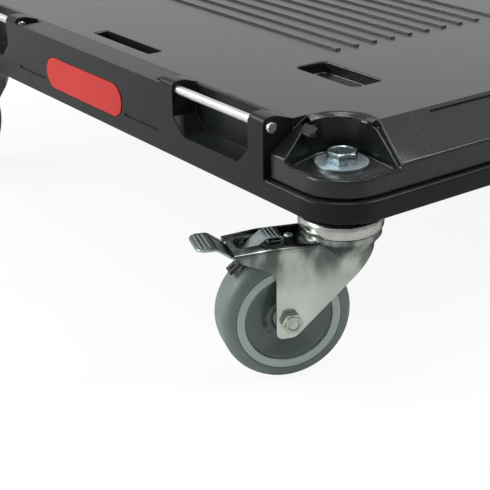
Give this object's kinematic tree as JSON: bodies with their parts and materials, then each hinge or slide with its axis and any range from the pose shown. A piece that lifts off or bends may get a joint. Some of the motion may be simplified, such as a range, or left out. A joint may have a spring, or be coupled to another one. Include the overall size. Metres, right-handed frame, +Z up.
{
  "type": "toolbox dolly",
  "caption": "Moulded rectangular platform with steel handle rods in side bays, on swivel casters, two with foot brakes, for carrying stacked tool boxes.",
  "frame": {"origin": "on the floor, in the middle of the dolly's footprint with its casters turned as in the picture", "axes": "+Z up; +X along the long handle sides; the handle side with the insert and the braked casters faces -Y"},
  "size_m": [0.62, 0.5738, 0.1745],
  "materials": {
    "base_moulding": "moulded, fine grain",
    "deck_moulding": "moulded, fine grain",
    "insert_moulding": "moulded, smooth",
    "rod_steel": "zinc plated",
    "fastener_zinc": "zinc plated, bluish",
    "race_steel": "pressed and zinc plated",
    "fork_zinc": "pressed sheet, satin zinc plated",
    "ball_steel": "polished balls",
    "sleeve_steel": "turned",
    "tyre_rubber": "soft grey, non-marking",
    "wheel_core": "moulded",
    "wheel_cover": "moulded, satin",
    "bush_nylon": "moulded",
    "pedal_steel": "pressed sheet, zinc plated",
    "shoe_moulding": "moulded",
    "spring_steel": "spring sheet"
  },
  "bodies": {
    "platform": {"base_frame": "base_moulding", "deck": "deck_moulding", "handle_rods": "rod_steel", "front_insert": "insert_moulding", "deck_screws": "fastener_zinc", "caster_bolts": "fastener_zinc", "caster_washers": "fastener_zinc", "caster_nuts": "fastener_zinc", "king_tubes": "race_steel", "race_cups": "race_steel", "lower_races": "race_steel"},
    "swivel_fr": {"fork_fr": "fork_zinc", "balls_fr": "ball_steel", "axle_bolt_fr": "fastener_zinc", "axle_nut_fr": "fastener_zinc", "axle_sleeve_fr": "sleeve_steel", "brake_pin_fr": "sleeve_steel", "spring_fr": "spring_steel", "rivet_fr": "spring_steel"},
    "wheel_fr": {"tyre_fr": "tyre_rubber", "core_fr": "wheel_core", "covers_fr": "wheel_cover", "bush_fr": "bush_nylon"},
    "brake_fr": {"pedal_fr": "pedal_steel", "shoe_fr": "shoe_moulding"},
    "swivel_fl": {"fork_fl": "fork_zinc", "balls_fl": "ball_steel", "axle_bolt_fl": "fastener_zinc", "axle_nut_fl": "fastener_zinc", "axle_sleeve_fl": "sleeve_steel", "brake_pin_fl": "sleeve_steel", "spring_fl": "spring_steel", "rivet_fl": "spring_steel"},
    "wheel_fl": {"tyre_fl": "tyre_rubber", "core_fl": "wheel_core", "covers_fl": "wheel_cover", "bush_fl": "bush_nylon"},
    "brake_fl": {"pedal_fl": "pedal_steel", "shoe_fl": "shoe_moulding"},
    "swivel_rr": {"fork_rr": "fork_zinc", "balls_rr": "ball_steel", "axle_bolt_rr": "fastener_zinc", "axle_nut_rr": "fastener_zinc", "axle_sleeve_rr": "sleeve_steel"},
    "wheel_rr": {"tyre_rr": "tyre_rubber", "core_rr": "wheel_core", "covers_rr": "wheel_cover", "bush_rr": "bush_nylon"},
    "swivel_rl": {"fork_rl": "fork_zinc", "balls_rl": "ball_steel", "axle_bolt_rl": "fastener_zinc", "axle_nut_rl": "fastener_zinc", "axle_sleeve_rl": "sleeve_steel"},
    "wheel_rl": {"tyre_rl": "tyre_rubber", "core_rl": "wheel_core", "covers_rl": "wheel_cover", "bush_rl": "bush_nylon"}
  },
  "joints": [
    {"name": "swivel_turn_fr", "type": "hinge", "parent": "platform", "child": "swivel_fr", "pos_m": [0.268, -0.18852, 0.1], "axis": [0, 0, 1], "continuous": true},
    {"name": "wheel_spin_fr", "type": "hinge", "parent": "swivel_fr", "child": "wheel_fr", "pos_m": [0.25401, -0.22674, 0.045], "axis": [0.9391, -0.3437, 0], "continuous": true},
    {"name": "brake_tilt_fr", "type": "hinge", "parent": "swivel_fr", "child": "brake_fr", "pos_m": [0.24601, -0.24862, 0.0912], "axis": [0.9391, -0.3437, 0], "range_deg": [0, 8.9]},
    {"name": "swivel_turn_fl", "type": "hinge", "parent": "platform", "child": "swivel_fl", "pos_m": [-0.268, -0.18852, 0.1], "axis": [0, 0, 1], "continuous": true},
    {"name": "wheel_spin_fl", "type": "hinge", "parent": "swivel_fl", "child": "wheel_fl", "pos_m": [-0.25401, -0.22674, 0.045], "axis": [0.9391, 0.3437, 0], "continuous": true},
    {"name": "brake_tilt_fl", "type": "hinge", "parent": "swivel_fl", "child": "brake_fl", "pos_m": [-0.24601, -0.24862, 0.0912], "axis": [0.9391, 0.3437, 0], "range_deg": [0, 8.9]},
    {"name": "swivel_turn_rr", "type": "hinge", "parent": "platform", "child": "swivel_rr", "pos_m": [0.268, 0.20348, 0.1], "axis": [0, 0, 1], "continuous": true},
    {"name": "wheel_spin_rr", "type": "hinge", "parent": "swivel_rr", "child": "wheel_rr", "pos_m": [0.25401, 0.2417, 0.045], "axis": [-0.9391, -0.3437, 0], "continuous": true},
    {"name": "swivel_turn_rl", "type": "hinge", "parent": "platform", "child": "swivel_rl", "pos_m": [-0.268, 0.20348, 0.1], "axis": [0, 0, 1], "continuous": true},
    {"name": "wheel_spin_rl", "type": "hinge", "parent": "swivel_rl", "child": "wheel_rl", "pos_m": [-0.25401, 0.2417, 0.045], "axis": [-0.9391, 0.3437, 0], "continuous": true}
  ]
}
